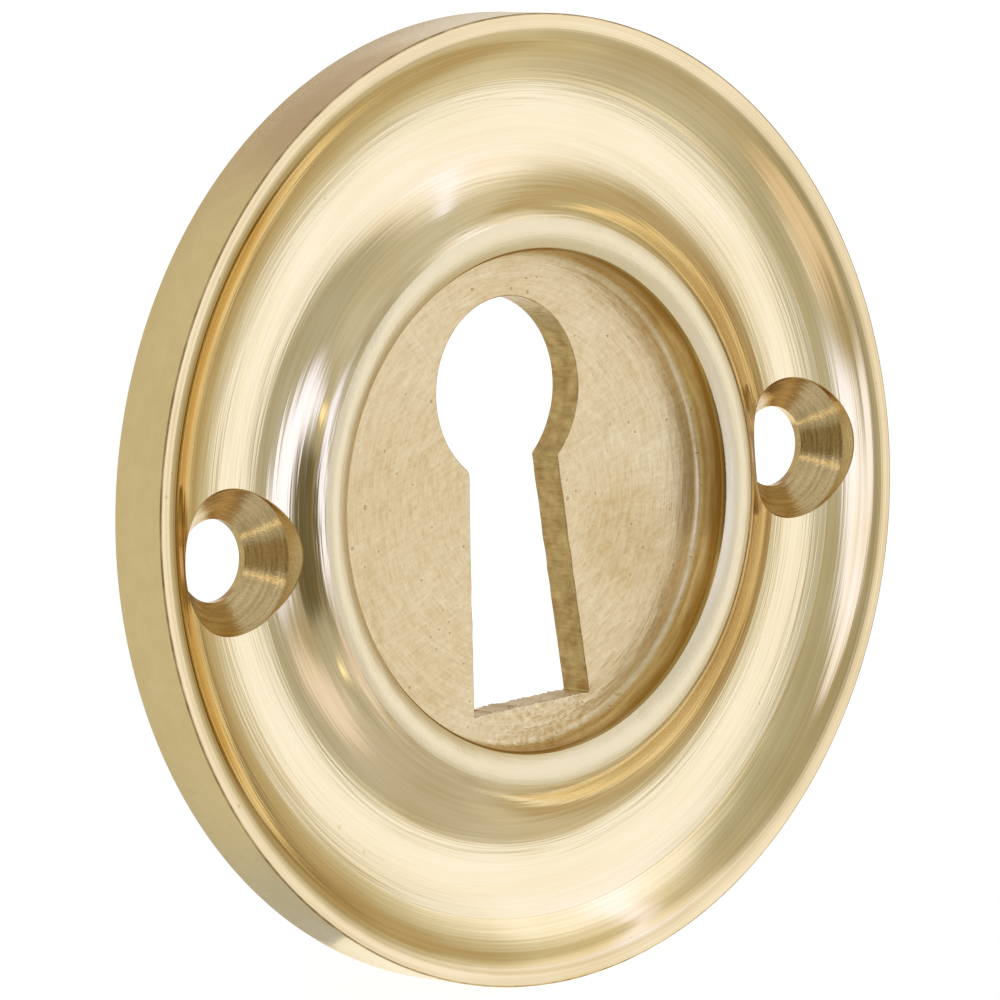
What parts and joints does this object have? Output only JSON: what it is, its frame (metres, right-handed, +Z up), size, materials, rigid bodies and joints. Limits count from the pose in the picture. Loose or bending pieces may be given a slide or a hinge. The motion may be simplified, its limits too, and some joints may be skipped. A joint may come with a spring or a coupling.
{
  "type": "keyhole escutcheon",
  "caption": "Round turned brass plate that frames a keyhole: narrow lip, cove, dished band and bead round a flat recess, with countersunk screw holes at the sides.",
  "frame": {"origin": "where the disc's axis meets the flat back, midway between the two screw holes", "axes": "+Y out of the flat back into the door or drawer front, -Y out of the moulded face towards the user, +Z up the keyhole from its slot to its round bow, +X towards the right screw hole seen from the front"},
  "size_m": [0.045, 0.0037, 0.045],
  "materials": {
    "brass": "lathe-turned and polished, not lacquered"
  },
  "bodies": {
    "root": {"keyhole_escutcheon": "brass"}
  },
  "joints": []
}
